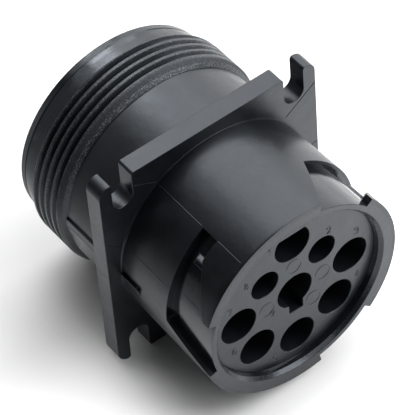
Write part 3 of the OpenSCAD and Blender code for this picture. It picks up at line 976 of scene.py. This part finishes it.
def black_moulding(name, band):
    """Black glass-filled plastic: fine grain, cloudy gloss; band adds the coarse
    spark-eroded grain round the thread's shoulder, painted glints on that grain and
    on the thread's crests, a painted sheen on the collar's end band, the streaks of
    the collar and the smoother floor of the tracks."""
    m, nt, b, vec = nodes_of(name)
    cloud = noise(nt, vec, 0.45, 4.0, 0.6)
    fine = noise(nt, vec, 7.0, 3.0, 0.65)
    fleck = noise(nt, vec, 2.3, 5.0, 0.7)
    wave = noise(nt, vec, 0.33, 3.0, 0.5)
    col = mix_colour(nt, remap(nt, cloud, 0.3, 0.7, 0, 1), (0.0045, 0.0053, 0.0066), (0.0068, 0.0078, 0.0096))
    nt.links.new(col, b.inputs["Base Color"])
    rough = math_node(nt, "ADD", remap(nt, cloud, 0.3, 0.7, 0.29, 0.37), remap(nt, fleck, 0.35, 0.65, -0.03, 0.03))
    nrm = bump(nt, wave, 0.5, 0.00012)
    nrm = bump(nt, fine, 0.3, 0.000015, nrm)
    if band:
        xyz = nt.nodes.new("ShaderNodeSeparateXYZ")
        nt.links.new(vec, xyz.inputs[0])
        x, y, z = xyz.outputs
        rad = math_node(nt, "SQRT", math_node(nt, "ADD", math_node(nt, "MULTIPLY", x, x), math_node(nt, "MULTIPLY", z, z)))
        # grain on the thread's land and its chamfer; the land is the duller
        mask = math_node(nt, "MULTIPLY", remap(nt, y, 8.17, 8.22, 0, 1, True), remap(nt, y, 9.2, 9.8, 1, 0, True))
        mask = math_node(nt, "MULTIPLY", mask, remap(nt, rad, 15.04, 15.10, 0, 1, True))
        mask = math_node(nt, "MULTIPLY", mask, remap(nt, z, -1.0, 6.0, 0.25, 1.0, True))
        rough = math_node(nt, "ADD", rough, math_node(nt, "MULTIPLY", mask, remap(nt, y, 8.60, 8.68, 0.10, 0.30, True)))
        # crumbly crests of the thread
        zone = math_node(nt, "MULTIPLY", remap(nt, y, 9.2, 9.5, 0, 1, True), remap(nt, y, 14.8, 15.1, 1, 0, True))
        zone = math_node(nt, "MULTIPLY", zone, remap(nt, rad, 15.60, 15.80, 0, 1, True))
        crumb = noise(nt, vec, 3.4, 2.0, 0.6)
        rough = math_node(nt, "ADD", rough, math_node(nt, "MULTIPLY", zone, 0.08))
        # painted glints: light tips of the grain, fewer of them on the crests, and more of them towards the top
        spark = noise(nt, vec, 5.4, 2.0, 0.75)
        painted_glint = math_node(nt, "MULTIPLY", mask, remap(nt, spark, 0.49, 0.64, 0, 1, True))
        painted_glint = math_node(nt, "MULTIPLY", painted_glint, math_node(nt, "MULTIPLY", remap(nt, y, 8.17, 8.26, 0.1, 1, True), remap(nt, y, 8.62, 8.82, 1, 0.2, True)))
        painted_glint = math_node(nt, "MULTIPLY", painted_glint, remap(nt, z, 2.0, 9.5, 0.12, 1, True))
        painted_glint = math_node(nt, "MAXIMUM", painted_glint, math_node(nt, "MULTIPLY", zone, remap(nt, spark, 0.54, 0.64, 0, 0.8, True)))
        # painted sheen: the collar's end band is lighter, in specks, on its left side
        painted_band_sheen = math_node(nt, "MULTIPLY", remap(nt, y, 17.62, 17.72, 0.0, 1.0, True), remap(nt, x, -9.0, -12.5, 0.0, 1.0, True))
        painted_glint = math_node(nt, "MAXIMUM", painted_glint, math_node(nt, "MULTIPLY", painted_band_sheen, remap(nt, spark, 0.35, 0.65, 0.25, 0.6, True)))
        # painted glints and painted sheen: a light grey mixed into the base colour
        both = nt.nodes.new("ShaderNodeMix")
        both.data_type = "RGBA"
        both.inputs[7].default_value = (0.110, 0.118, 0.127, 1)
        nt.links.new(painted_glint, both.inputs[0])
        nt.links.new(col, both.inputs[6])
        nt.links.new(both.outputs[2], b.inputs["Base Color"])
        nrm = bump(nt, math_node(nt, "MULTIPLY", math_node(nt, "MAXIMUM", zone, mask), crumb), 0.6, 0.00007, nrm)
        # streaks round the collar
        st = nt.nodes.new("ShaderNodeVectorMath")
        st.operation = "MULTIPLY"
        st.inputs[1].default_value = (0.11, 1.6, 0.11)
        nt.links.new(vec, st.inputs[0])
        streak = noise(nt, st.outputs["Vector"], 1.0, 3.0, 0.6)
        on = remap(nt, y, 15.2, 15.5, 0, 1, True)
        polish = math_node(nt, "MULTIPLY", on, remap(nt, y, 16.45, 16.75, 0.35, 1.0, True))
        dull = math_node(nt, "MULTIPLY", remap(nt, y, 17.40, 17.60, 0.0, 2.1, True), remap(nt, x, -7.0, -10.5, 0.0, 1.0, True))
        polish = math_node(nt, "MULTIPLY", polish, math_node(nt, "SUBTRACT", 1.0, dull))
        rough = math_node(nt, "ADD", rough, math_node(nt, "MULTIPLY", polish, remap(nt, streak, 0.35, 0.65, -0.19, -0.08)))
        nrm = bump(nt, math_node(nt, "MULTIPLY", on, streak), 0.3, 0.00006, nrm)
        # floor of the tracks and the recess in the rim
        deep = math_node(nt, "MULTIPLY", remap(nt, rad, 14.45, 14.35, 0, 1), remap(nt, y, -11.8, -12.0, 0, 1))
        side = math_node(nt, "MULTIPLY", remap(nt, y, -11.93, -11.96, 0, 1), remap(nt, y, -12.05, -12.02, 0, 1))
        side = math_node(nt, "MULTIPLY", side, remap(nt, rad, 14.80, 14.74, 0, 1))
        rough = math_node(nt, "SUBTRACT", rough, math_node(nt, "MULTIPLY", deep, 0.18))
        rough = math_node(nt, "SUBTRACT", rough, math_node(nt, "MULTIPLY", side, remap(nt, x, -2.0, 2.0, 0.26, 0.0)))
        # dull inner edge of the rim
        lip = math_node(nt, "MULTIPLY", remap(nt, y, -19.36, -19.44, 0, 1), remap(nt, rad, 13.30, 13.22, 0, 1))
        rough = math_node(nt, "ADD", rough, math_node(nt, "MULTIPLY", lip, 0.12))
    nt.links.new(rough, b.inputs["Roughness"])
    nt.links.new(nrm, b.inputs["Normal"])
    b.inputs["IOR"].default_value = 1.52
    b.inputs["Specular IOR Level"].default_value = 0.5
    b.inputs["Specular Tint"].default_value = (0.82, 0.90, 1.0, 1)
    return m


def rubber():
    m, nt, b, vec = nodes_of("seal_rubber_look")
    cloud = noise(nt, vec, 0.8, 4.0, 0.6)
    fine = noise(nt, vec, 9.0, 3.0, 0.6)
    nt.links.new(mix_colour(nt, cloud, (0.018, 0.018, 0.020), (0.034, 0.034, 0.036)), b.inputs["Base Color"])
    nt.links.new(remap(nt, fine, 0.3, 0.7, 0.62, 0.78), b.inputs["Roughness"])
    nt.links.new(bump(nt, fine, 0.25, 0.00002), b.inputs["Normal"])
    return m


def plated():
    m, nt, b, vec = nodes_of("contact_plating_look")
    cloud = noise(nt, vec, 1.6, 4.0, 0.6)
    turned = noise(nt, vec, 12.0, 2.0, 0.5)
    nt.links.new(mix_colour(nt, cloud, (0.66, 0.45, 0.17), (0.82, 0.62, 0.28)), b.inputs["Base Color"])
    nt.links.new(remap(nt, cloud, 0.3, 0.7, 0.22, 0.36), b.inputs["Roughness"])
    nt.links.new(bump(nt, turned, 0.12, 0.00001), b.inputs["Normal"])
    b.inputs["Metallic"].default_value = 1.0
    return m


M_SHELL = black_moulding("shell_plastic_look", True)
M_INSERT = black_moulding("insert_plastic_look", False)
M_RUBBER = rubber()
M_PLATE = plated()

# ---------------------------------------------------------------- pieces
body = shell(M_SHELL)
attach(body, "root")
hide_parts("shell")

insert = insulator(M_INSERT)
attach(insert, "root")
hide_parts("dielectric_insert")

for name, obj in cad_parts.items():
    if name == "contact_retainer":
        look = M_INSERT
    elif name == "wire_seal":
        look = M_RUBBER
    elif name.startswith("contact_"):
        look = M_PLATE
    else:
        continue
    obj.data.materials.clear()
    obj.data.materials.append(look)

# ---------------------------------------------------------------- stage, light, camera
bpy.ops.mesh.primitive_plane_add(size=1.6, location=(0, 0, -HALF / 1000 - 0.00002))
floor = bpy.context.object
floor.name = "floor"
fm, fnt, fb, fvec = nodes_of("floor_look")
far = fnt.nodes.new("ShaderNodeVectorMath")
far.operation = "LENGTH"
fnt.links.new(fvec, far.inputs[0])
fx = fnt.nodes.new("ShaderNodeSeparateXYZ")
fnt.links.new(fvec, fx.inputs[0])
# painted shade in the floor's colour: darker to the left of the view and far from the object
aside = math_node(fnt, "SUBTRACT", math_node(fnt, "MULTIPLY", fx.outputs[0], 0.79), math_node(fnt, "MULTIPLY", fx.outputs[1], 0.61))
painted_shade_left = remap(fnt, aside, -28.5, -52.0, 0.0, 0.8, True)
away = remap(fnt, far.outputs["Value"], 48.0, 115.0, 0.0, 0.92, True)
# painted light: a lighter sector on the right, with soft sides, where the far painted shade is left out
toward = math_node(fnt, "ADD", math_node(fnt, "MULTIPLY", fx.outputs[0], 0.839), math_node(fnt, "MULTIPLY", fx.outputs[1], 0.545))
toward = math_node(fnt, "DIVIDE", toward, math_node(fnt, "MAXIMUM", far.outputs["Value"], 1.0))
painted_lit_sector = math_node(fnt, "MULTIPLY", remap(fnt, toward, 0.45, 0.92, 0.0, 1.0, True), remap(fnt, far.outputs["Value"], 40.0, 75.0, 0.0, 1.0, True))
away = math_node(fnt, "MULTIPLY", away, math_node(fnt, "SUBTRACT", 1.0, painted_lit_sector))
painted_shade_and_mottle = math_node(fnt, "MAXIMUM", painted_shade_left, away)
painted_shade_and_mottle = math_node(fnt, "ADD", painted_shade_and_mottle, math_node(fnt, "MULTIPLY", noise(fnt, fvec, 0.01, 3.0), 0.04))
fnt.links.new(mix_colour(fnt, painted_shade_and_mottle, (0.87, 0.87, 0.87), (0.22, 0.22, 0.22)), fb.inputs["Base Color"])
fb.inputs["Roughness"].default_value = 0.8
# painted light: the floor glows a little, away from the object's foot, more towards the front and the right and in the
# lighter sector, fading out far away
ox = math_node(fnt, "MAXIMUM", math_node(fnt, "SUBTRACT", math_node(fnt, "ABSOLUTE", fx.outputs[0]), 11.0), 0.0)
oy = math_node(fnt, "MAXIMUM", math_node(fnt, "SUBTRACT", math_node(fnt, "ABSOLUTE", fx.outputs[1]), 17.0), 0.0)
out = math_node(fnt, "SQRT", math_node(fnt, "ADD", math_node(fnt, "MULTIPLY", ox, ox), math_node(fnt, "MULTIPLY", oy, oy)))
glow = math_node(fnt, "MULTIPLY", remap(fnt, out, 0.5, 11.0, 0.0, 1.0, True), remap(fnt, fx.outputs[1], 8.0, -8.0, 0.10, 0.50, True))
glow = math_node(fnt, "MULTIPLY", glow, remap(fnt, far.outputs["Value"], 50.0, 110.0, 1.0, 0.0, True))
glow = math_node(fnt, "MULTIPLY", glow, remap(fnt, fx.outputs[0], 10.0, 24.0, 1.0, 1.7, True))
glow = math_node(fnt, "ADD", glow, math_node(fnt, "MULTIPLY", painted_lit_sector, 0.15))
fb.inputs["Emission Color"].default_value = (1.0, 1.0, 1.0, 1)
fnt.links.new(glow, fb.inputs["Emission Strength"])
floor.data.materials.append(fm)


def area(name, pos, target, size, power, colour=(1, 1, 1), size_y=None):
    d = bpy.data.lights.new(name, "AREA")
    d.energy = power
    d.color = colour
    d.size = size
    if size_y:
        d.shape = "RECTANGLE"
        d.size_y = size_y
    o = bpy.data.objects.new(name, d)
    o.location = pos
    o.rotation_euler = (Vector(target) - Vector(pos)).to_track_quat("-Z", "Y").to_euler()
    bpy.context.scene.collection.objects.link(o)
    return o


area("panel", (0.60, 0.70, 1.0), (0.60, 0.70, 0), 1.3, 18.6, size_y=1.2)
area("panel_edge", (-0.25, 0.70, 1.0), (-0.25, 0.70, 0), 0.40, 1.9, size_y=1.2)
area("side", (1.35, 0.75, 0.44), (0, 0, 0), 1.4, 9.0, size_y=1.0)
area("main", (0.72, -0.54, 0.79), (0, 0, 0), 1.0, 18.0)
area("low", (0.365, -0.888, 0.283), (0, 0, 0), 0.4, 0.3)
area("front", (0.05, -0.82, 0.565), (0, 0, 0), 0.42, 0.8, size_y=0.22)
for card in (area("card_top", (0.0046, 0.0408, 0.0480), (-0.0022, 0.0180, 0.0148), 0.019, 0.0034, size_y=0.009),
             area("card_left", (-0.042, 0.041, 0.028), (-0.0107, 0.017, 0.011), 0.025, 0.0014, size_y=0.060)):
    card.visible_camera = False

world = bpy.data.worlds.new("studio")
bpy.context.scene.world = world
world.use_nodes = True
bg = world.node_tree.nodes["Background"]
bg.inputs["Color"].default_value = (1.0, 1.0, 1.0, 1)
bg.inputs["Strength"].default_value = 0.05

cam_data = bpy.data.cameras.new("camera")
cam_data.sensor_width = 36.0
cam_data.lens = 264.73
cam_data.clip_start = 0.01
cam_data.clip_end = 20.0
cam = bpy.data.objects.new("camera", cam_data)
bpy.context.scene.collection.objects.link(cam)
cam.matrix_world = Matrix((
    (0.78975208, 0.49277980, -0.36532139, -0.14043392),
    (-0.61083535, 0.57706995, -0.54209819, -0.20943169),
    (-0.05631904, 0.65127440, 0.75674951, 0.29099020),
    (0, 0, 0, 1)))
bpy.context.scene.camera = cam
bpy.context.scene.view_settings.view_transform = "Standard"
bpy.context.scene.view_settings.look = "None"
